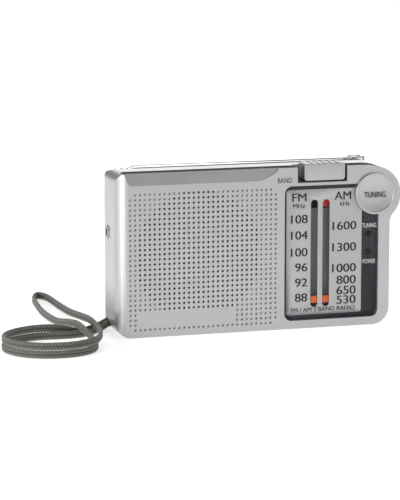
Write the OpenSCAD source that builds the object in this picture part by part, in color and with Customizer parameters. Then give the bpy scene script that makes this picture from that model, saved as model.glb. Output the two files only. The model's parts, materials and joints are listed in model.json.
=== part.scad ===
/* [Cabinet] */
// Height of the cabinet
body_h = 72.2; // [70:0.1:75]
// Left side of the cabinet, from the centre of the whole radio
body_l = -66.8; // [-68:0.1:-66]
// Right side of the cabinet below the tuning bulge
body_r = 58; // [57.5:0.1:58.5]
// Front face, as a place along Y
y_front = -16.2; // [-17:0.1:-16]
// Depth from the front face to the back
body_d = 33.6; // [33:0.1:34]
// Depth of the front cabinet, up to the parting line
split_d = 6.8; // [6:0.1:7]
// Thickness of the cabinet walls
wall = 2; // [1.8:0.1:2.2]
/* [Speaker grille] */
// Distance from one grille hole to the next
pitch = 2.2; // [2.1:0.05:2.3]
// Diameter of a grille hole
hole_dia = 1; // [0.8:0.1:1.2]
// Radius of the field of open holes
open_r = 28.4; // [20:0.1:28.6]
// Depth of the blind holes outside that field
dimple_d = 0.9; // [0.3:0.1:1]
/* [Tuning] */
// Travel of the dial pointer
dial_travel = 36; // [30:1:36]
// Turn of the tuning wheel from end to end, in degrees
tune_turn = 600; // [500:10:720]
/* [Antenna] */
// Length of the stowed antenna tubes
tube_len = 100; // [80:1:101]
// Outer diameter of the widest antenna tube
tube_dia = 6; // [6:0.1:6.2]
/* [Hidden] */
$fn = 48;
// Radii of the bottom left, bottom right and top left corners of the front
foot_r = 5.5;
right_r = 7.9;
top_r = 4.5;
// Places are [X, Z] on the front; depths count back from the front face
speaker = [-30.5, 35.4];
// Centre of the hole grid
grille_0 = [-30.5, 36.5];
bulge = [50.3, 58.6];
scoop_z = 66.7;
scoop_x = 8;
bulge_r = 12.7;
// Window, scale plate and battery door: left, right, bottom, top
window = [8.9, 52.75, 3.7, 63.8];
plate = [10.1, 45.3, 5.8, 61.9];
slot_x = [23.1, 28.6];
slot_z = [10.8, 55.6];
slot_w = 3.3;
// Dish over the tuning wheel
boss = [50.8, 59.2];
boss_r = 9.24;
// Thumbwheels and the cord train that links the tuning wheel to the pointer
tune = [57.4, 57];
tune_r = 9.3;
volume = [49.5, 22];
volume_r = 11.3;
drum = [38, 44.5];
drum_r = dial_travel / PI;
spindle_r = dial_travel / (tune_turn * PI / 180);
pulleys = [[17, 57.5], [17, 7.5]];
pulley_r = 3;
recess = [14.8, 37.9, 65.2];
// Fixings, lamps and battery cells
screws = [[-58.5, 9], [-58.5, 54], [3.3, 57], [52.5, 7]];
standoffs = [[28, 28], [10.8, 62], [41, 7]];
leds = [[48.7, 40.7], [48.7, 32.5]];
cell_x = -3;
cell_len = 50.5;
cell_r = 7.25;
cell_z = [11.5, 26.5];
cell_d = 23.7;
door = [-11, 49, 4.2, 34.2];
// Earphone socket: depth and height
jack = [18.2, 44.4];
jack_r = 2.9;
// Ledge the antenna folds onto: depth and height; the antenna's pivot as [X, Y, Z]
ledge = [24, 64.2];
ant = [52, 12.5, 69];
tube_d = [for (i = [0:4]) tube_dia - 0.9 * i];
// Strap eye: depth and height; the strap standing on edge, its two levels and its route
eye = [20.7, 3.9];
strap_w = 3.4;
coil = [[-101, -9], [-111, -13], [-118, -21], [-119.5, -31], [-115.5, -40], [-107.5, -46], [-97.5,
  -47.5]];
low = 1.8;
high = 5.3;
strap_out = [[-62, 2.2, 3.9], [-66, 2.8, 3.6], [-70, 0.5, 2.4], [-75, -3.8, low],
  [-82, -8.3, low], [-91, -9.4, low]];
strap_bight = [[-88, -44.5, low], [-81.5, -36, low], [-80.5, -25, 2.8], [-82, -14, 5.2], [-82.6, -4,
  high],
  [-84, 7, 3.9], [-86, 20, 2.1], [-87.2, 40, low], [-86, 60, low], [-84, 76, low], [-80.6, 83.5, low],
  [-77.4, 77, low], [-76.6, 58, low], [-76, 38, 2.4], [-74.8, 20, 3.7], [-74.4, 4, 5],
  [-75.5, -14, high], [-77.6, -28, high], [-82.5, -39.5, high], [-90, -45.5, high]];
strap_in = [[-91.5, -6.6, 4.4], [-82, -3.9, low], [-75, 0.6, low], [-70, 4.6, 2.4], [-66, 6.6, 3.6],
  [-62, 7.6, 3.9]];
strap_route = concat(strap_out, [for (p = coil) [p.x, p.y, low]], strap_bight,
  [for (i = [6:-1:0]) [coil[i].x, coil[i].y, high]], strap_in);

// Shapes are drawn in the front view (X across, Z up) and given a depth behind the front face.
module slab(d, h) translate([0, y_front + d + h, 0]) rotate([90, 0, 0]) linear_extrude(h) children();
module disc(p, r, d, h) slab(d, h) translate(p) circle(r);
module block(x0, x1, z0, z1, d0, d1) translate([x0, y_front + d0, z0]) cube([x1 - x0, d1 - d0, z1 - z0]);
module spin(p) translate([p.x, y_front, p.y]) rotate([-90, 0, 0]) rotate_extrude() children();
module rounded(x0, x1, z0, z1, r)
  polygon(concat(arc(x0 + r, z0 + r, r, 180, 270), arc(x1 - r, z0 + r, r, 270, 360),
  arc(x1 - r, z1 - r, r, 0, 90), arc(x0 + r, z1 - r, r, 90, 180)));
function arc(cx, cz, r, a0, a1, n = 8) = [for (i = [0:n]) let (a = a0 + (a1 - a0) * i / n)
  [cx + r * cos(a), cz + r * sin(a)]];

// The front view outline, inset by t: three round corners, the tuning bulge and its hollow blend.
function outline(t) = let (
    fillet = 6, crown = 25,
    zf = bulge.y - sqrt(pow(bulge_r + fillet, 2) - pow(body_r + fillet - bulge.x, 2)),
    af = atan2(zf - bulge.y, body_r + fillet - bulge.x),
    zc = body_h - crown,
    xc = bulge.x - sqrt(pow(crown - bulge_r, 2) - pow(bulge.y - zc, 2)),
    ac = atan2(bulge.y - zc, bulge.x - xc))
  concat(arc(body_l + foot_r, foot_r, foot_r - t, 180, 270), arc(body_r - right_r, right_r,
    right_r - t, 270, 360),
    arc(body_r + fillet, zf, fillet + t, 180, 180 + af, 5), arc(bulge.x, bulge.y, bulge_r - t, af,
      ac, 20),
    arc(xc, zc, crown - t, ac, 90, 5), arc(body_l + top_r, body_h - top_r, top_r - t, 90, 180));
// Plan view: an oval front left edge and large round rear corners.
function oval(t) = [for (i = [0:8]) let (a = 180 + 90 * i / 8) [body_l + 5.7 + (5.7 - t)
  * cos(a), y_front + split_d + (split_d - t) * sin(a)]];
module plan(t, r = 11.6) let (yb = y_front + body_d - t) translate([0, 0, -5]) linear_extrude(90)
  polygon(concat(oval(t), [[80, y_front + t]], arc(body_r + 5 - r, yb - r + t, r - t, 0, 90),
    arc(body_l + r, yb - r + t, r - t, 90, 180)));
// Side view: the top falls away to the back, and the bottom rear edge is round.
module side(t, r = 13) translate([-80, 0, 0]) rotate([90, 0, 90]) linear_extrude(160)
  polygon(concat([[y_front + t, -5], [y_front + body_d - 3.2, -5]],
    arc(y_front + body_d - 3.2, 3.2, 3.2 - t, 270, 360),
    [for (i = [0:10]) let (a = 90 * i / 10) [y_front + body_d - 20 + (20 - t)
      * cos(a), body_h - r + (r - t) * sin(a)]],
    [[y_front + t, body_h + 5]]));
module shell_form(t, d0, d1) intersection() { slab(d0, d1 - d0) polygon(outline(t)); plan(t); side(t); }

// Front cabinet: shell, tuning dish, recess of the band knob, window and grille.
module front_cabinet() color("silver") difference() {
  union() {
    difference() { shell_form(0, 0, split_d); shell_form(wall, wall, split_d + 1); }
    block(recess.x - 2, recess.y + 2, 64, recess.z, 3.3, split_d);
    block(recess.x - 2, recess.x, 64, body_h - 1, 1, split_d);
    block(recess.y, recess.y + 2, 64, body_h - 1, 1, split_d);
    for (p = screws) disc(p, 2.8, wall - 0.1, split_d - wall);
    disc(boss, boss_r, -1.2, 3.2);
  }
  slab(-3, 20) difference() {
    rounded(window[0], window[1], window[2], window[3], 3.3);
    translate(boss) circle(boss_r);
  }
  spin(boss) polygon([[0, -2], [boss_r - 0.9, -2], [boss_r - 0.9, -0.6], [5, -0.2], [0, 0]]);
  block(recess.x, recess.y, recess.z, 80, -1, 20);
  block(22.4, 33, 60, 66, 3.7, 5.5);
  for (p = screws) disc(p, 1.1, wall + 0.8, 10);
  slab(-1, 5) grille() if (norm($at) < open_r) circle(hole_dia / 2, $fn = 16);
  slab(-1, 1 + dimple_d) grille() if (norm($at) >= open_r) circle(hole_dia / 2, $fn = 16);
  scoop();
}
// Every place of the hole grid but its corners and the blank panel; $at is its place from the field's centre.
module grille() for (i = [-14:16], j = [-15:12])
  if (!(j <= -12 && j >= -14 && i > -13 && i < 8) && !((i == -14 || i == 16) && (j == -15 || j == 12)))
    let ($at = pitch * [i, j] + [0, 1]) translate(grille_0 + pitch * [i, j]) children();
// A shallow slanted band along the top of the front, from the left edge to a curved end.
module scoop() intersection() {
  slab(-1, 3) polygon(concat([[-80, scoop_z]], arc(-6, scoop_z + 17, 17, 270, 316, 8), [[scoop_x,
    80], [-80, 80]]));
  translate([-90, y_front, scoop_z]) rotate([-8, 0, 0]) translate([0, -5, 0]) cube([120, 5, 20]);
}
// Rear cabinet: shell, antenna ledge, screw posts, wheel slots, battery opening, socket and strap eye.
module rear_cabinet() color("gainsboro") difference() {
  union() {
    difference() { shell_form(0, split_d, body_d); shell_form(wall, split_d - 1, body_d - wall); }
    intersection() { shell_form(0.5, split_d + 2, body_d - 0.5);
      block(-70, 70, ledge.y - 2, ledge.y, ledge.x - 2, 40); }
    intersection() { shell_form(0.5, split_d + 2, body_d - 0.5);
      block(-70, 70, ledge.y - 2, 80, ledge.x - 2, ledge.x); }
    for (p = screws) disc(p, 3, split_d + 0.1, body_d - split_d - 2.3);
    intersection() { shell_form(0.5, split_d, 20); block(recess.x - 2, recess.y + 2, 64, 80, 9.9, 11.4); }
  }
  block(-80, 80, ledge.y, 90, ledge.x, 50);
  block(recess.x, recess.y, recess.z, 80, 0, 9.9);
  disc(tune, tune_r + 0.5, 9.1, 4.2);
  disc(tune, spindle_r + 1.1, split_d - 1, 4);
  for (p = [[57.6, 50.2], [58.6, 52.2]]) disc(p, 1.6, split_d - 1, 4);
  disc(volume, volume_r + 0.5, 9.1, 4.2);
  block(door[0] - 0.3, door[1] + 0.3, door[2] - 0.3, door[3] + 0.3, body_d - wall - 0.2, body_d + 1);
  for (x = [door[0] - 1.3, door[1]]) translate([x, y_front + body_d - 1, door[2] + 1])
    rotate([0, 90, 0]) cylinder(1.3, 0.75, 0.75);
  for (p = screws) { disc(p, 1.25, 0, 50); disc(p, 2.5, 20, 30); }
  translate([-70, y_front + jack.x, jack.y]) rotate([0, 90, 0]) cylinder(10, jack_r + 0.05, jack_r + 0.05);
  block(-70, -60, eye.y - 1.9, eye.y + 1.9, eye.x - 4, eye.x + 6);
  translate([ant.x, ant.y, 50]) cylinder(20, 2.1, 2.1);
}
module dial_window() color([0.8, 0.85, 0.9, 0.3]) difference() {
  slab(0.3, 1.1) rounded(window[0] + 0.05, window[1] - 0.05, window[2] + 0.05, window[3] - 0.05, 3.2);
  disc(boss, boss_r + 0.06, -1, 5);
}
// The two long pointer slots of the scale.
module slots() for (x = slot_x) translate([x, 0]) slot();
module slot() { translate([-slot_w / 2, slot_z[0]]) square([slot_w, slot_z[1] - slot_z[0]]);
  for (z = slot_z) translate([0, z]) circle(slot_w / 2); }
module dial_plate() color("silver") slab(1.4, 0.3) difference() {
  rounded(plate[0], plate[1], plate[2], plate[3], 1.2); slots(); translate(boss) circle(boss_r + 0.06); }
// Dark mask behind the plate, open over the pointer and round the lamps.
module dial_surround() color([0.2, 0.2, 0.23]) slab(1.7, 1.5) difference() {
  rounded(window[0] + 0.05, window[1] - 0.05, window[2] + 0.05, window[3] - 0.05, 3.2);
  translate([12.4, 8]) square([20, 49.9]);
  translate(boss) circle(boss_r + 0.06);
  for (p = leds) translate(p) circle(1.6);
}
// Chassis that carries the scale, the board and the two cord pulleys.
module dial_chassis() color("dimgray") {
  slab(4.8, 1.4) difference() {
    union() { rounded(9.5, 46, 4.4, 63, 1.5); translate(standoffs[1]) circle(2.5); }
    translate([12.5, 8.5]) square([3.2, 45]); translate([21, 53]) square([14, 20]); }
  slab(3.2, 1.6) difference() { rounded(9.5, 46, 4.4, 60, 1.5); translate([11, 6]) square([33.5, 52]);
    translate([21, 53]) square([14, 20]); translate([11, 50]) square([40, 20]); }
  for (p = standoffs) slab(6.1, 7.3) translate(p) difference() { circle(2); circle(0.9); }
  for (p = pulleys) disc(p, 0.8, 6.1, 3.1);
}
module speaker_cloth() color([0.08, 0.08, 0.08]) disc(speaker, 29, wall, 0.25);
// The speaker is turned from half sections: [radius, depth].
module speaker_basket() color("gray") difference() {
  spin(speaker) polygon([[24.6, 2.3], [28.5, 2.3], [28.5, 3.1], [25.4, 3.1], [14.4, 12], [14.4,
    12.8], [7, 12.8], [7, 12], [13.8, 12], [24.6, 3.4]]);
  for (a = [0:90:270]) translate([speaker.x, 0, speaker.y]) rotate([0, a + 45, 0])
    translate([-5, y_front + 5, 14.6]) cube([10, 6, 8]);
}
module speaker_surround() color("black") spin(speaker)
  polygon([[22.3, 2.7], [23.4, 2.4], [24.5, 2.7], [24.5, 3], [23.4, 2.8], [22.3, 3.1]]);
module speaker_cone() color([0.15, 0.15, 0.15]) spin(speaker)
  polygon([[22, 3.6], [22, 4.1], [6.3, 9.4], [5.4, 9.4], [5.4, 8.9], [3, 7.8], [0, 7.3], [0, 6.9],
    [3, 7.4], [5.8, 8.4]]);
module voice_coil() color("chocolate") spin(speaker)
  polygon([[5.5, 9.5], [5.9, 9.5], [5.9, 14.6], [5.5, 14.6]]);
module speaker_magnet() color([0.25, 0.25, 0.27]) spin(speaker)
  polygon([[6.3, 12.8], [14, 12.8], [14, 17.8], [6.3, 17.8]]);
module speaker_yoke() color("lightgray") spin(speaker)
  polygon([[0, 10.8], [5, 10.8], [5, 17.8], [13, 17.8], [13, 19.6], [0, 19.6]]);
// Circuit board and what is soldered to it.
module main_board() color([0.75, 0.6, 0.3]) slab(13.4, 1.6) difference() {
  intersection() { polygon(outline(2.7));
    polygon([[-1, 3], [43, 3], [43, 34.3], [64, 34.3], [64, 75], [7, 75], [7, 34.3], [-1, 34.3]]); }
  translate(drum) circle(2.6); translate([recess.x - 2.3, 62.6]) square([25.7, 12]);
  for (p = concat(standoffs, [tune])) translate(p) circle(1.25);
}
module radio_chip() color([0.1, 0.1, 0.1]) block(9, 22, 38, 45, 15, 18.2);
module if_cans() for (x = [10, 19]) color("silver") block(x, x + 7, 48, 55, 15, 23);
module electrolytic_capacitors() for (x = [30, 37, 44]) color("navy") disc([x, 59.6], 2.5, 15, 7);
module resistors() for (i = [0:4]) color("tan") translate([17.5 + 3.4 * i, y_front + 12.4, 34])
  cylinder(6, 1, 1);
module ferrite_rod() color([0.2, 0.2, 0.2]) translate([-54.5, y_front + 25, 51.5]) rotate([0, 90, 0])
  cylinder(50, 4, 4);
module ferrite_coil() color("peru") translate([-30, y_front + 25, 51.5]) rotate([0, 90, 0])
  difference() { cylinder(18, 5, 5); translate([0, 0, -1]) cylinder(20, 4, 4); }
module tuning_capacitor() color("ivory") difference() { block(28, 48, 34.6, 54.4, 15, 26);
  disc(drum, 2.1, 10, 11); }
// A wheel with n finger grooves.
module knurled(p, r, n, d, h) slab(d, h) difference() { translate(p) circle(r);
  for (i = [0:n - 1]) translate(p + r * [cos(360 * i / n), sin(360 * i / n)]) circle(0.45, $fn = 8); }
module tuning_wheel() color([0.12, 0.12, 0.13]) difference() {
  union() { knurled(tune, tune_r, 24, 9.5, 3.4); disc(tune, spindle_r, 7.4, 2.2);
    disc(tune, spindle_r + 0.4, 6.8, 0.6); }
  disc(tune, 1.3, 0, 20); }
module tuning_spindle() color("gray") { disc(tune, 1.25, 6.2, 8.8); disc(tune, 2.4, 5.6, 0.7); }
module dial_drum() color("white") { disc(drum, drum_r, 7.2, 1.4); disc(drum, drum_r + 0.7, 6.6, 0.6);
  disc(drum, drum_r + 0.7, 8.5, 0.5); disc(drum, 2, 8.5, 12); }
// Outline of the dial cord round drum, wheel and pulleys, grown by e.
module loop(e) hull() { translate(pulleys[0]) circle(pulley_r + e);
  translate(pulleys[1]) circle(pulley_r + e);
  translate(tune) circle(spindle_r + e); translate(drum) circle(drum_r + e); }
module dial_cord() color("khaki") slab(7.7, 0.6) difference() { loop(0.7); loop(0.12); }
module pulley(p) color("white") difference() { union() { disc(p, pulley_r, 7.2, 1.4);
  disc(p, 3.5, 6.8, 0.6); disc(p, 3.5, 8.5, 0.4); } disc(p, 0.85, 0, 20); }
// Pointer: a bar across both slots, an arm behind the mask and a clip on the cord.
module dial_pointer() color("orangered") { block(19.6, 31.8, 10.8, 13.9, 2.2, 3);
  block(12.9, 31.8, 11.8, 12.9, 3, 3.6);
  block(12.9, 13, 11.8, 12.9, 3.5, 8.6); block(12.9, 13.9, 11.8, 12.9, 3.5, 7.5); }
module volume_control() color("gray") { disc(volume, 5.9, 13.1, 3.2); disc(volume, 1.5, 9, 4.2); }
module volume_wheel() color([0.12, 0.12, 0.13]) difference()
  { knurled(volume, volume_r, 30, 9.5, 3.4); disc(volume, 1.55, 0, 20); }
// Band knob: thumb piece with five ridges, and a leg down to the selector.
module band_knob() color("silver") difference() {
  union() { slab(0.7, 8.6) rounded(18.2, 37, 65.8, 73.4, 1.2); block(26, 29.6, 58, 66, 3.9, 5.2);
    block(26, 29.6, 62, 63.4, 5.1, 11.2); }
  for (i = [0:4]) block(21.2 + 3 * i, 22.4 + 3 * i, 73, 75, -1, 10); }
module band_flag() color("red") block(26.15, 30.95, 54, 59, 3.4, 3.9);
module band_selector() color("black") difference() { block(20, 35, 60.2, 63.8, 9.7, 13.4);
  block(21.6, 30.6, 61.4, 66, 9, 12.2); }
// A lamp with its flange.
module led(p) color("darkred") { disc(p, 1.5, 1.7, 4); disc(p, 1.9, 5.7, 0.8); }
module earphone_jack() color("lightgray") translate([body_l, y_front + jack.x, jack.y])
  rotate([0, 90, 0]) difference() {
  union() { translate([0, 0, -0.5]) cylinder(4.5, jack_r, jack_r); translate([-4, -4, 3]) cube([8, 8, 11]);
    } translate([0, 0, -1]) cylinder(13, 1.8, 1.8); }
// Battery door with its hinge bar, pins, latch notch and three finger ridges.
module battery_cover() color("gainsboro") {
  difference() {
    block(door[0], door[1], door[2] + 1, door[3], body_d - wall, body_d);
    block(14, 24, door[3] - 1.6, 60, body_d - 0.9, 50);
    for (z = [26, 28, 30]) block(12, 26, z, z + 0.9, body_d - 0.5, 50);
  }
  translate([door[0], y_front + body_d - 1, door[2] + 1]) rotate([0, 90, 0])
    cylinder(door[1] - door[0], 1, 1);
  for (x = [door[0] - 1, door[1] - 0.1]) translate([x, y_front + body_d - 1, door[2] + 1])
    rotate([0, 90, 0]) cylinder(1.1, 0.7, 0.7); }
// One cell; the second lies the other way round.
module cell(i) translate([cell_x, y_front + cell_d, cell_z[i]]) rotate([0, 90, 0]) mirror([0, 0, i])
  translate([0, 0, -i * cell_len]) {
  color("dimgray") cylinder(cell_len - 1.2, cell_r, cell_r);
    color("silver") translate([0, 0, cell_len - 1.3]) cylinder(1.3, 2.7, 2.7); }
module battery_springs() color("silver") for (i = [0, 1])
  let (x = i == 0 ? cell_x - 5.6 : cell_x + cell_len + 0.1)
  for (k = [0:3]) translate([x + 1.3 * k + 0.2, y_front + cell_d, cell_z[i]]) rotate([0, 90, 0])
    rotate_extrude() translate([3.2 + 0.4 * (i == 0 ? k : 3 - k), 0.2]) circle(0.35, $fn = 16);
module battery_contacts() color("gold")
  { block(cell_x - 6.4, cell_x - 5.8, 6, 32, cell_d - 5, cell_d + 5);
  block(cell_x + cell_len + 5.6, cell_x + cell_len + 6.1, 21.5, 32, cell_d - 5, cell_d + 3);
  block(cell_x + cell_len + 0.1, cell_x + cell_len + 0.6, 7, 16, cell_d - 5, cell_d + 5); }
// The antenna folds along X.
module along_x(x, d, l) translate([x, ant.y, ant.z]) rotate([0, 90, 0]) cylinder(l, d / 2, d / 2);
// Swivelling fork.
module antenna_base() color("silver") difference() {
  union() { translate([ant.x, ant.y, ledge.y + 0.2]) cylinder(1.2, 3.3, 3.3);
    translate([ant.x, ant.y, ledge.y - 5.6]) cylinder(6, 2, 2);
    for (y = [-3.3, 2.1]) translate([ant.x - 3, ant.y + y, ledge.y + 1]) cube([6, 1.2, 7.2]); }
  translate([ant.x, ant.y + 5, ant.z]) rotate([90, 0, 0]) cylinder(10, 1, 1); }
module antenna_pin() color("dimgray") translate([ant.x, ant.y + 3.3, ant.z]) rotate([90, 0, 0])
  cylinder(6.6, 1, 1);
// Tube i slides out of tube i - 1; tube 0 carries the pivot block and the last one a cap.
module antenna_tube(i) color("silver") let (x1 = ant.x - 4.6) difference() {
  union() { along_x(x1 - tube_len + (i == 0 ? 0 : -1.2 * i), tube_d[i], tube_len - (i == 0 ? 0 : 4)
    + 1.2 * i);
    if (i == 0) intersection() { translate([x1 - 2, ant.y - 2, ant.z - 2.4]) cube([9, 4, 4.8]);
      union() { translate([x1 - 9, ant.y - 5, ant.z - 5]) cube([13.6, 10, 10]);
        translate([ant.x, ant.y + 5, ant.z]) rotate([90, 0, 0]) cylinder(10, 2.4, 2.4); } }
    if (i == 4) along_x(x1 - tube_len - 8, 4.2, 3.2); }
  if (i < 4) along_x(x1 - tube_len - 20, tube_d[i] - 0.8, tube_len + 17);
  if (i == 0) translate([ant.x, ant.y + 5, ant.z]) rotate([90, 0, 0]) cylinder(10, 1.05, 1.05); }
module antenna_bracket() color("silver") translate([ant.x, ant.y, ledge.y - 3.4]) difference()
  { translate([-6, -5, 0]) cube([11, 6, 1.2]); translate([0, 0, -1]) cylinder(4, 2.05, 2.05); }
module case_screws() color("gray") for (p = screws) { disc(p, 1.1, 4.4, 15.8); disc(p, 2.3, 20, 1.6); }
module board_screws() color("gray") for (p = standoffs) { disc(p, 0.9, 9, 6.2); disc(p, 1.8, 15, 1.2); }
module strap_pin() color("silver") translate([-62.2, y_front + eye.x + 0.4, 2]) cylinder(6, 0.85, 0.85);

// A tube of eight sides swept along smooth points; the route is a closed loop that hangs on the strap pin.
function smooth(p, n) = [for (i = [0:len(p) - 2], k = [0:n - 1])
  let (t = k / n, a = p[max(i - 1, 0)], b = p[i], c = p[i + 1], d = p[min(i + 2, len(p) - 1)])
  0.5 * (2 * b + (c - a) * t + (2 * a - 5 * b + 4 * c - d) * t * t + (3 * b - a - 3 * c + d)
    * t * t * t)];
function along(p, i) = let (v = p[min(i + 1, len(p) - 1)] - p[max(i - 1, 0)]) v / norm(v);
module tube(p, r, n = 8) let (rings = [for (i = [0:len(p) - 1], k = [0:n - 1]) let (t = along(p, i),
    s = cross(t, [0, 0, 1]) / norm(cross(t, [0, 0, 1])), u = cross(s, t), a = 360 * k / n)
      p[i] + r * (cos(a) * s + sin(a) * u)], m = len(p))
  polyhedron(rings, concat([[for (k = [0:n - 1]) k]], [[for (k = [n - 1:-1:0]) (m - 1) * n + k]],
    [for (i = [0:m - 2], k = [0:n - 1]) let (a = i * n + k, b = i * n + (k + 1) % n)
      [a, a + n, b + n, b]]));
// Strap as one closed solid along its route.
module hand_strap() color("dimgray")
  tube(concat(smooth(strap_route, 2), [strap_route[len(strap_route) - 1]]), strap_w / 2);

front_cabinet();
rear_cabinet();
dial_window();
dial_plate();
dial_surround();
dial_chassis();
speaker_cloth();
speaker_basket();
speaker_surround();
speaker_cone();
voice_coil();
speaker_magnet();
speaker_yoke();
main_board();
radio_chip();
if_cans();
electrolytic_capacitors();
resistors();
ferrite_rod();
ferrite_coil();
tuning_capacitor();
tuning_wheel();
tuning_spindle();
dial_drum();
dial_cord();
pulley(pulleys[0]);  // upper_pulley
pulley(pulleys[1]);  // lower_pulley
dial_pointer();
volume_control();
volume_wheel();
band_knob();
band_flag();
band_selector();
led(leds[1]);  // power_led
led(leds[0]);  // tuning_led
earphone_jack();
battery_cover();
cell(0);  // battery_cell_1
cell(1);  // battery_cell_2
battery_springs();
battery_contacts();
antenna_base();
antenna_pin();
antenna_tube(0);  // antenna_tube_1
antenna_tube(1);  // antenna_tube_2
antenna_tube(2);  // antenna_tube_3
antenna_tube(3);  // antenna_tube_4
antenna_tube(4);  // antenna_tube_5
antenna_bracket();
case_screws();
board_screws();
strap_pin();
hand_strap();
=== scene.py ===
# %% [markdown]
# # A transistor pocket radio
# The radio is a packed assembly: every piece already has its place, and this lesson gives each one its
# finish. We load the frame first, because every later position is worked out from its boxes.

# %% Load the frame
import json
import math
import bmesh
import bpy
from mathutils import Matrix, Vector


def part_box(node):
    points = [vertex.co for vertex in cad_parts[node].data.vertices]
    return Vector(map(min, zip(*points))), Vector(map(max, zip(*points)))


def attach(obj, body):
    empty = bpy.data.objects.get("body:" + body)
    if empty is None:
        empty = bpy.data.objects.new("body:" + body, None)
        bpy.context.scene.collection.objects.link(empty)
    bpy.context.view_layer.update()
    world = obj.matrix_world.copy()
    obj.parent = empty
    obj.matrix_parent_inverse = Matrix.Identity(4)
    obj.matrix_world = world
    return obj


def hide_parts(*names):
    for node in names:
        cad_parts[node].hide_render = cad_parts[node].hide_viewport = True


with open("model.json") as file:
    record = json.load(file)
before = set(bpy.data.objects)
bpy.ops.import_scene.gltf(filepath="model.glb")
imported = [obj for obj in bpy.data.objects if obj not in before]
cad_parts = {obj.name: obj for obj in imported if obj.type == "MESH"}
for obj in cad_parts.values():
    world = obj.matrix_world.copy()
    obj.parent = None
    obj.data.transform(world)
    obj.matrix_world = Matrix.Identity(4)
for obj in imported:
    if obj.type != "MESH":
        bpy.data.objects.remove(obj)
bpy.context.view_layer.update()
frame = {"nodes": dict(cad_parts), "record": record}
MM = 0.001
nodes = frame["nodes"]
front_lo, front_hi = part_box("front_cabinet")
rear_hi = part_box("rear_cabinet")[1]
window_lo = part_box("dial_window")[0]
plate_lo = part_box("dial_plate")[0]
FACE_Y = window_lo[1] - 0.3 * MM  # the window lies 0.3 mm behind the face
print("cabinet", [round((b - a) / MM, 1) for a, b in zip(front_lo, rear_hi)], "mm")

# %% [markdown]
# ## The camera
# The radio is seen from its left and a little above, with a long lens, as in a catalogue picture. A long
# lens keeps the front nearly free of perspective. A small function adds an object to the scene: the camera
# here, and every piece made later.

# %% Camera
def placed(name, data):
    """A new object of the scene that shows the given data."""
    made = bpy.data.objects.new(name, data)
    bpy.context.collection.objects.link(made)
    return made


EYE = Vector((-0.3194, -1.0074, 0.2147))
AIM = Vector((0.2763, 0.9461, -0.1691))
camera = placed("camera", bpy.data.cameras.new("camera"))
camera.location = EYE
camera.rotation_euler = AIM.to_track_quat("-Z", "Y").to_euler()
camera.data.lens = 173.2
camera.data.sensor_width = 36
bpy.context.scene.camera = camera
print("camera", round(EYE.length, 3), "m from the radio's foot")

# %% [markdown]
# ## Shader expressions
# A shader is arithmetic on sockets. Wrapping a socket in a small class lets us write that arithmetic as
# ordinary expressions, and one method makes any other node from its type, settings and inputs.


# %% Socket arithmetic
class Value:
    """One output socket, with arithmetic that adds Math nodes."""

    def __init__(self, finish, socket):
        self.finish, self.socket = finish, socket

    def math(self, operation, *others):
        return self.finish.node("ShaderNodeMath", {"operation": operation}, self, *others)

    def __add__(self, other):
        return self.math("ADD", other)

    def __mul__(self, other):
        return self.math("MULTIPLY", other)

    def __gt__(self, other):
        return self.math("GREATER_THAN", other)


class Finish:
    """A material with a Principled shader, built up by named sockets."""

    def __init__(self, name, **constants):
        self.material = bpy.data.materials.new(name)
        self.material.use_nodes = True
        self.tree = self.material.node_tree
        self.shader = self.tree.nodes["Principled BSDF"]
        for key, value in constants.items():
            self.shader.inputs[key.replace("_", " ")].default_value = value

    def join(self, value, socket):
        """Links a Value to a socket, or writes a plain number or colour into it."""
        if isinstance(value, Value):
            self.tree.links.new(value.socket, socket)
        else:
            socket.default_value = value

    def node(self, kind, settings=None, *inputs, out=0, **named):
        made = self.tree.nodes.new(kind)
        for key, value in (settings or {}).items():
            setattr(made, key, value)
        for key, value in list(enumerate(inputs)) + list(named.items()):
            self.join(value, made.inputs[key.replace("_", " ") if isinstance(key, str) else key])
        return Value(self, made.outputs[out])

    def feed(self, **sockets):
        for key, value in sockets.items():
            self.join(value, self.shader.inputs[key.replace("_", " ")])
        return self

    def place(self):
        return self.node("ShaderNodeTexCoord", out="Object")

    def parts(self, vector):
        split = self.node("ShaderNodeSeparateXYZ", None, vector)
        return [Value(self, s) for s in split.socket.node.outputs]

    def noise(self, scale, detail=2, stretch=(1, 1, 1)):
        spot = self.node("ShaderNodeMapping", None, self.place(), Scale=stretch)
        return self.node("ShaderNodeTexNoise", None, Vector=spot, Scale=scale, Detail=detail)

    def blend(self, amount, first, second):
        mix = self.node("ShaderNodeMix", {"data_type": "RGBA"}).socket.node
        color_in = [s for s in mix.inputs if s.type == "RGBA"]
        for socket, value in zip([mix.inputs[0]] + color_in, (amount, first, second)):
            self.join(value, socket)
        return Value(self, [s for s in mix.outputs if s.type == "RGBA"][0])

    def bump(self, height, strength, distance):
        return self.node("ShaderNodeBump", None, Height=height, Strength=strength, Distance=distance)


def grey(level, tint=0.0):
    return (level - tint / 2, level, level + tint, 1)


print("shader tools ready")

# %% [markdown]
# ## The finishes
# The cabinet is plastic sprayed with a fine metallic paint, so it is half metallic, softly rough, and has a
# grain of flakes a fraction of a millimetre across. Handling polishes it a little, which a broad, weak noise
# in the roughness shows.


# %% Sprayed silver
METALLIC = 0.85
FACES_UP = 0.93  # a normal with more rise than this belongs to the flat top
# The flat top of the front cabinet is painted near black: a painted reflection of a dark surround, not a
# colour of the paint.
PAINTED_DARK_TOP_BAND = 0.8 * MM  # how far below the highest point the dark top strip reaches


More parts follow.
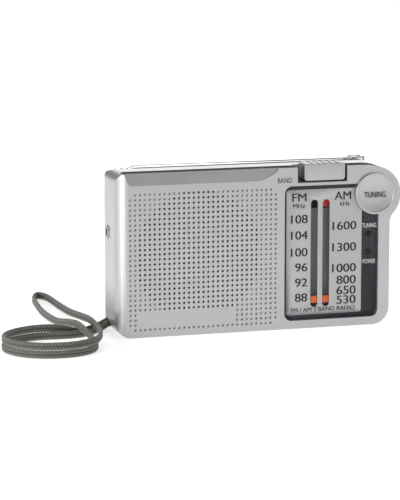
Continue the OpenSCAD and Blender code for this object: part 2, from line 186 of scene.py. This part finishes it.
def sprayed(name, level, rough=0.36, painted_dark_top_above=None):
    paint = Finish(name, Metallic=METALLIC, IOR=1.5)
    flakes = paint.noise(9000, 3)
    wear = paint.noise(60, 4)
    tone = paint.blend(flakes, grey(level * 0.93, 0.004), grey(level * 1.07, 0.006))
    tone = paint.blend(wear * 0.12, tone, grey(level * 0.8))
    gloss = wear * 0.12 + (rough - 0.06)
    # painted reflection: upward faces within the top band are painted near black, matt and less metallic
    if painted_dark_top_above is not None:
        up = paint.parts(paint.node("ShaderNodeNewGeometry", out="Normal"))[2] > FACES_UP
        high = paint.parts(paint.place())[2] > painted_dark_top_above
        dark = up * high
        tone = paint.blend(dark, tone, grey(0.03, 0.002))
        gloss = gloss + dark * 0.6
        paint.feed(Metallic=dark * -METALLIC + METALLIC)
    grain = paint.bump(flakes, 0.25, 0.00003)
    return paint.feed(Base_Color=tone, Roughness=gloss, Normal=grain)


silver_front = sprayed("silver_front", 0.5, painted_dark_top_above=front_hi[2] - PAINTED_DARK_TOP_BAND)
silver_rear = sprayed("silver_rear", 0.54, 0.34)
silver_knob = sprayed("silver_knob", 0.46, 0.32)
print("sprayed silver in three tones")

# %% [markdown]
# ## Plain finishes
# Moulded plastics, metals and prints share one recipe: a base tone with a weak mottling, and a fine bump
# whose scale and strength tell a matt moulding from a polished metal.


# %% Moulded, metal and printed finishes
def plain(name, color, rough, metal=0.0, scale=900, depth=0.00002, stretch=(1, 1, 1), spread=0.12, **more):
    made = Finish(name, Metallic=metal, **more)
    grain = made.noise(scale, 3, stretch)
    dark = tuple(c * (1 - spread) for c in color[:3]) + (1,)
    light = tuple(min(c * (1 + spread), 1) for c in color[:3]) + (1,)
    made.feed(Base_Color=made.blend(grain, dark, light), Roughness=grain * 0.16 + (rough - 0.08))
    if depth:
        made.feed(Normal=made.bump(grain, 0.4, depth))
    return made


BRUSHED = (0.04, 1, 1)
finishes = {
    "dial_silver": plain("dial_silver", grey(0.5, 0.006), 0.38, 0.4, 2500, 0.000008, (1, 1, 0.05)),
    "print_dark": plain("print_dark", grey(0.03), 0.6, depth=0, Specular_IOR_Level=0.2),
    "print_light": plain("print_light", grey(0.75), 0.5, depth=0),
    "mask": plain("mask", (0.036, 0.035, 0.044), 0.45, depth=0, Specular_IOR_Level=0.25),
    "black": plain("black", grey(0.018), 0.5),
    "wheel": plain("wheel", grey(0.022), 0.42),
    "tray": plain("tray", grey(0.2), 0.55),
    "white": plain("white", (0.72, 0.70, 0.64), 0.45),
    "steel": plain("steel", grey(0.55), 0.3, 1.0, 700, 0.00001, BRUSHED),
    "chrome": plain("chrome", grey(0.78), 0.12, 1.0, 500, 0.000002, BRUSHED, 0.04),
    "felt": plain("felt", grey(0.006), 0.95, scale=4000, depth=0.0001),
    "paper": plain("paper", grey(0.03), 0.9, scale=1500, depth=0.0001),
    "ferrite": plain("ferrite", grey(0.07), 0.6, scale=1200),
    "copper": plain("copper", (0.55, 0.22, 0.09), 0.3, 0.8, 3000, 0.00004, (1, 0.02, 0.02)),
    "board": plain("board", (0.42, 0.26, 0.10), 0.5, scale=600),
    "orange": plain("orange", (0.85, 0.16, 0.02), 0.4, depth=0),
    "red": plain("red", (0.75, 0.02, 0.02), 0.4, depth=0),
    "lamp": plain("lamp", (0.012, 0.002, 0.003), 0.2, depth=0, Specular_IOR_Level=0.3),
    "sleeve": plain("sleeve", (0.03, 0.06, 0.22), 0.25, depth=0, Coat_Weight=0.5),
    "cell": plain("cell", (0.06, 0.07, 0.09), 0.25, 0.3, depth=0, Coat_Weight=0.5),
    "twine": plain("twine", (0.5, 0.45, 0.3), 0.8, scale=3000, depth=0.00005),
}
clear = Finish("clear_acrylic", Roughness=0.04, IOR=1.49, Alpha=0.04)
clear.feed(Base_Color=clear.blend(clear.noise(400), grey(0.04, 0.01), grey(0.05, 0.01)))
print(len(finishes) + 1, "further finishes")

# %% [markdown]
# ## Softened edges
# No moulding has a knife edge. Each piece is remade from its frame solid with the doubled points merged and
# every sharp edge bevelled, so that it catches a thin line of light. The remade piece rides on the same body
# and stands for the solid it came from. A piece with a bevel of 0 keeps its exact shape and is set back by a
# hair, so that it never shares a plane with the window in front of it.


# %% Remaking a piece
SAME_POINT = 0.002 * MM
SET_BACK = 0.02 * MM
FLAT, SHARP, CREASE = (math.radians(a) for a in (0.6, 32, 38))


def shown(obj, material):
    obj.data.materials.clear()
    obj.data.materials.append(material.material)
    return obj


def remade(node, material, bevel=0.15, segments=2):
    source = nodes[node]
    mesh = source.data.copy()
    form = bmesh.new()
    form.from_mesh(mesh)
    bmesh.ops.remove_doubles(form, verts=form.verts, dist=SAME_POINT)
    if bevel:
        bmesh.ops.dissolve_limit(form, angle_limit=FLAT, verts=form.verts, edges=form.edges)
        sharp = [e for e in form.edges if e.is_manifold and e.calc_face_angle(0) > SHARP]
        bmesh.ops.bevel(form, geom=sharp, offset=bevel * MM, segments=segments, profile=0.6, affect="EDGES",
                        clamp_overlap=True, harden_normals=False)
    bmesh.ops.triangulate(form, faces=[f for f in form.faces if len(f.verts) > 8])
    form.to_mesh(mesh)
    form.free()
    if not bevel:
        mesh.transform(Matrix.Translation((0, SET_BACK, 0)))
    piece = placed(node + "_finished", mesh)
    mesh.shade_smooth()
    mesh.set_sharp_from_angle(angle=CREASE)
    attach(piece, body_name(node))
    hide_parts(node)
    return shown(piece, material)


def body_name(node):
    for body, members in frame["record"]["behaviour"]["bodies"].items():
        if node in members:
            return body
    return "root"


print("helpers ready")

# %% [markdown]
# ## The hand strap
# The strap is a flat braid of grey yarn, one closed loop held on a pin inside the cabinet. It lies on the
# table standing on its edge: out of the eye, round a small coil with its two runs one above the other, over
# its own beginning, and back beside the cabinet. We sweep a two-lobed section along that route and raise it
# in a herringbone, which is how the yarns of a flat braid cross.

# %% The route of the strap
LOW, HIGH = 1.8, 5.3
coil = [(-101, -9), (-111, -13), (-118, -21), (-119.5, -31), (-115.5, -40), (-107.5, -46), (-97.5, -47.5)]
strap_out = [(-62, 2.2, 3.9), (-66, 2.8, 3.6), (-70, 0.5, 2.4), (-75, -3.8, LOW), (-82, -8.3, LOW),
             (-91, -9.4, LOW)]
strap_bight = [(-88, -44.5, LOW), (-81.5, -36, LOW), (-80.5, -25, 2.8), (-82, -14, 5.2),
               (-82.6, -4, HIGH), (-84, 7, 3.9), (-86, 20, 2.1), (-87.2, 40, LOW), (-86, 60, LOW),
               (-84, 76, LOW), (-80.6, 83.5, LOW), (-77.4, 77, LOW), (-76.6, 58, LOW), (-76, 38, 2.4),
               (-74.8, 20, 3.7), (-74.4, 4, 5), (-75.5, -14, HIGH), (-77.6, -28, HIGH),
               (-82.5, -39.5, HIGH), (-90, -45.5, HIGH)]
strap_in = [(-91.5, -6.6, 4.4), (-82, -3.9, LOW), (-75, 0.6, LOW), (-70, 4.6, 2.4), (-66, 6.6, 3.6),
            (-62, 7.6, 3.9)]
route = strap_out + [(x, y, LOW) for x, y in coil] + strap_bight
route += [(x, y, HIGH) for x, y in reversed(coil)] + strap_in
route = [Vector(p) * MM for p in route]


def smooth(points, step):
    """Points about step apart on one smooth curve through the given points."""
    line = []
    for i in range(len(points) - 1):
        a, b = points[max(i - 1, 0)], points[i]
        c, d = points[i + 1], points[min(i + 2, len(points) - 1)]
        count = max(2, round((c - b).length / step))
        for k in range(count):
            t = k / count
            line.append(0.5 * (2 * b + (c - a) * t + (2 * a - 5 * b + 4 * c - d) * t**2
                               + (3 * b - a - 3 * c + d) * t**3))
    return line + [points[-1]]


strap_line = smooth(route, 0.2 * MM)
strap_length = sum((b - a).length for a, b in zip(strap_line, strap_line[1:]))
print("strap", round(strap_length, 3), "m in", len(strap_line), "rings")

# %% Sweeping the braid
STRAP_W, STRAP_T, PLAIT = 3.45 * MM, 2.1 * MM, 1.4 * MM
SECTION = 28


def strap_ring(spot, ahead, run):
    side = ahead.cross(Vector((0, 0, 1))).normalized()
    up = side.cross(ahead).normalized()
    ring = []
    for k in range(SECTION):
        turn = 2 * math.pi * k / SECTION
        wide, thick = math.sin(turn), math.cos(turn)
        groove = math.exp(-((wide / 0.2) ** 2))
        slant = abs(wide) * 1.1 * PLAIT + (0.5 * PLAIT if thick * wide < 0 else 0)
        yarn = abs(math.sin(math.pi * (run + slant) / PLAIT))
        out = thick * STRAP_T / 2 * (1 - 0.4 * groove) * (0.8 + 0.2 * yarn)
        ring.append(spot + side * out + up * (wide * STRAP_W / 2 * (0.94 + 0.06 * yarn)))
        # painted shade: darker between the yarns and darkest in the central groove
        painted_yarn_shade.append(yarn * (1 - 0.8 * groove))
    return ring


strap_mesh = bpy.data.meshes.new("hand_strap_braid")
points, faces, painted_yarn_shade, run = [], [], [], 0
for i, spot in enumerate(strap_line):
    ahead = strap_line[min(i + 1, len(strap_line) - 1)] - strap_line[max(i - 1, 0)]
    run += (spot - strap_line[i - 1]).length if i else 0
    points += strap_ring(spot, ahead.normalized(), run)
for i in range(len(strap_line) - 1):
    for k in range(SECTION):
        a, b = i * SECTION + k, i * SECTION + (k + 1) % SECTION
        faces.append((a, a + SECTION, b + SECTION, b))
last = (len(strap_line) - 1) * SECTION
faces += [tuple(range(SECTION)), tuple(last + k for k in reversed(range(SECTION)))]
strap_mesh.from_pydata(points, [], faces)
strap_mesh.shade_smooth()
painted_shade_layer = strap_mesh.attributes.new("painted_yarn_shade", "FLOAT", "POINT")
painted_shade_layer.data.foreach_set("value", painted_yarn_shade)
strap = placed("hand_strap_braid", strap_mesh)
yarn = Finish("braid_yarn", Sheen_Weight=0.25, Sheen_Roughness=0.5)
fleck = yarn.noise(2600, 4)
painted_braid_shade = yarn.node("ShaderNodeAttribute", {"attribute_name": "painted_yarn_shade"}, out="Fac")
worn = yarn.noise(500, 2)
tone = yarn.blend(fleck, (0.06, 0.056, 0.049, 1), (0.34, 0.325, 0.29, 1))
# painted shade: the braid turns near black between its yarns and in its groove
tone = yarn.blend(painted_braid_shade, (0.011, 0.01, 0.008, 1), tone)
yarn.feed(Base_Color=yarn.blend(worn * 0.3, tone, (0.05, 0.046, 0.038, 1)), Roughness=fleck * 0.2 + 0.65,
          Normal=yarn.bump(fleck, 0.6, 0.0001))
shown(strap, yarn)
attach(strap, "cabinet")
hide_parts("hand_strap")
[tuple(p) for p in strap_line[::8]] + [tuple(strap_line[-1])]
print("braid of", len(points), "points")

# %% [markdown]
# ## The cabinets
# The two cabinet halves keep their exact solids, since the grille's holes are already cut. Their edges are
# softened by the shader's own bevel, which rounds the light over an edge and leaves the holes alone.


# %% Cabinets
def edge_round(finish, radius):
    """Rounds the light over every edge, on top of the paint's own grain."""
    soft = finish.node("ShaderNodeBevel", {"samples": 4}, Radius=radius)
    bump = finish.shader.inputs["Normal"].links[0].from_node
    finish.tree.links.new(soft.socket, bump.inputs["Normal"])


edge_round(silver_front, 0.35 * MM)
edge_round(silver_rear, 0.35 * MM)
for node, finish in (("front_cabinet", silver_front), ("rear_cabinet", silver_rear)):
    shown(nodes[node], finish)
    nodes[node].data.shade_smooth()
    nodes[node].data.set_sharp_from_angle(angle=math.radians(25))
remade("battery_cover", silver_rear, 0.3, 3)
remade("band_knob", silver_knob, 0.35, 3)
remade("earphone_jack", silver_knob, 0.3, 3)
print("cabinets painted")

# %% [markdown]
# ## Controls, dial and antenna
# Wheels, lamps, the pointer and the antenna are small parts seen close, so each is remade with a bevel that
# suits its size.

# %% Remade pieces
REMADE = {
    "dial_plate": ("dial_silver", 0), "dial_surround": ("mask", 0), "dial_chassis": ("tray", 0.15),
    "tuning_wheel": ("wheel", 0.15), "volume_wheel": ("wheel", 0.15), "tuning_spindle": ("steel", 0.1),
    "dial_drum": ("white", 0.1), "upper_pulley": ("white", 0.08), "lower_pulley": ("white", 0.08),
    "dial_pointer": ("orange", 0.1), "band_flag": ("red", 0.05), "band_selector": ("black", 0.15),
    "power_led": ("lamp", 0.6), "tuning_led": ("lamp", 0.6), "main_board": ("board", 0.05),
    "radio_chip": ("black", 0.2), "if_cans": ("steel", 0.5), "electrolytic_capacitors": ("sleeve", 0.4),
    "resistors": ("board", 0.3), "ferrite_rod": ("ferrite", 0.3), "ferrite_coil": ("copper", 0.3),
    "tuning_capacitor": ("white", 0.5), "volume_control": ("steel", 0.3), "battery_cell_1": ("cell", 0.5),
    "battery_cell_2": ("cell", 0.5), "battery_contacts": ("steel", 0.08), "antenna_base": ("chrome", 0.25),
    "antenna_pin": ("steel", 0.2), "antenna_bracket": ("steel", 0.1), "case_screws": ("steel", 0.2),
    "board_screws": ("steel", 0.15), "strap_pin": ("steel", 0.15), "speaker_basket": ("steel", 0.1),
    "speaker_magnet": ("ferrite", 0.4), "speaker_yoke": ("steel", 0.3),
}
REMADE.update({f"antenna_tube_{i}": ("chrome", 0.12) for i in range(1, 6)})
for node, (finish, bevel) in REMADE.items():
    remade(node, finishes[finish], bevel)
for node, finish in {"speaker_cloth": "felt", "speaker_surround": "paper", "speaker_cone": "paper",
                     "voice_coil": "copper", "dial_cord": "twine", "battery_springs": "steel"}.items():
    shown(nodes[node], finishes[finish])
shown(nodes["dial_window"], clear)
print(len(REMADE), "pieces remade")

# %% [markdown]
# ## Scale and labels
# The lettering is print a few hundredths of a millimetre thick. Each line is set as text, turned to face
# forward, and made into a mesh that sits on its surface.

# %% Lettering
CAP = 0.7  # height of a capital, as a share of the font's size
PRINT = 0.03 * MM  # how far the print stands off its surface
PRINT_Y = plate_lo[1] - PRINT


def label(name, words, x, z, height, y, finish="print_dark", align="CENTER", stretch=1.0, bold=0.0):
    curve = bpy.data.curves.new(name, "FONT")
    curve.body, curve.align_x, curve.align_y = words, align, "CENTER"
    curve.size = height / CAP * MM
    curve.extrude = 0.01 * MM
    text = placed(name, curve)
    bpy.context.view_layer.update()
    mesh = bpy.data.meshes.new_from_object(text)
    bpy.data.objects.remove(text)
    place = Matrix.Translation((x * MM, y, z * MM)) @ Matrix.Rotation(math.pi / 2, 4, "X")
    form = bmesh.new()
    for shift in (-bold, 0, bold) if bold else (0,):
        layer = mesh.copy()
        layer.transform(place @ Matrix.Translation((shift * MM, 0, -abs(shift) * 0.03 * MM))
                        @ Matrix.Diagonal((stretch, 1, 1, 1)))
        form.from_mesh(layer)
    form.to_mesh(mesh)
    form.free()
    piece = placed(name, mesh)
    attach(piece, "cabinet")
    return shown(piece, finishes[finish])


for megahertz, z in ((108, 48.6), (104, 41.4), (100, 33.8), (96, 27.0), (92, 20.2), (88, 13.4)):
    label(f"fm_{megahertz}", str(megahertz), 20.1, z, 3.75, PRINT_Y, align="RIGHT", stretch=1.12, bold=0.1)
for kilohertz, z in ((1600, 44.9), (1300, 35.3), (1000, 25.9), (800, 20.5), (650, 15.8), (530, 11.5)):
    label(f"am_{kilohertz}", str(kilohertz), 42.9, z, 3.75, PRINT_Y, align="RIGHT", stretch=1.17, bold=0.1)
for name, words, x, z, height, stretch in (
        ("fm_word", "FM", 16.0, 58.3, 3.7, 1.12), ("fm_unit", "MHz", 15.9, 54.6, 2.1, 1.0),
        ("am_word", "AM", 36.5, 58.4, 3.7, 1.05), ("am_unit", "kHz", 37.2, 54.9, 2.0, 1.0),
        ("dial_line", "FM / AM 2 BAND RADIO", 27.3, 7.9, 1.9, 1.04)):
    label(name, words, x, z, height, PRINT_Y, stretch=stretch, bold=0.025 * height)
label("band_word", "BAND", 8.85, 66.4, 2.25, FACE_Y - 0.02 * MM, stretch=0.78, bold=0.03)
label("tuning_word", "TUNING", 50.8, 58.5, 2.5, FACE_Y - 0.75 * MM, stretch=0.73, bold=0.02)
for name, words, z in (("tuning_lamp_word", "TUNING", 44.6), ("power_lamp_word", "POWER", 28.4)):
    label(name, words, 48.9, z, 2.0, PRINT_Y, "print_light", stretch=0.62)
print("lettering set")

# %% [markdown]
# ## Floor and light
# A pale floor sweeps away behind the radio. One large soft light stands to the left, where it draws the
# bright line down the rounded edge, one hangs overhead, one fills from the right, and a panel behind is
# what the top of the case mirrors.


# %% Studio
RADIO = Vector((0, 0, 0.03))  # where every light points


def light(name, place, size, power):
    lamp = placed(name, bpy.data.lights.new(name, "AREA"))
    lamp.data.shape, lamp.data.size, lamp.data.energy = "DISK", size, power
    lamp.location = place
    lamp.rotation_euler = (RADIO - Vector(place)).to_track_quat("-Z", "Y").to_euler()


light("left_softbox", (-1.2, -0.45, 0.3), 0.9, 15)
light("top_softbox", (0.0, 0.3, 1.5), 1.0, 4.5)
light("right_softbox", (0.75, -0.7, 0.5), 0.6, 2.6)
light("back_panel", (1.1, 3.3, 0.99), 2.64, 24.2)
floor_form = bmesh.new()
bmesh.ops.create_grid(floor_form, x_segments=2, y_segments=2, size=6)
floor_mesh = bpy.data.meshes.new("floor")
floor_form.to_mesh(floor_mesh)
floor_form.free()
floor = placed("floor", floor_mesh)
paper_floor = Finish("paper_floor", Roughness=0.9, Emission_Color=(1, 1, 1, 1), Emission_Strength=0.55)
paper_floor.feed(Base_Color=paper_floor.blend(paper_floor.noise(3), grey(0.9), grey(0.93)))
shown(floor, paper_floor)
world = bpy.data.worlds.new("studio")
bpy.context.scene.world = world
world.use_nodes = True
sky = world.node_tree.nodes["Background"].inputs
sky["Color"].default_value = (1, 1, 1, 1)
sky["Strength"].default_value = 0.22
bpy.context.scene.view_settings.view_transform = "Standard"
print("studio lit")
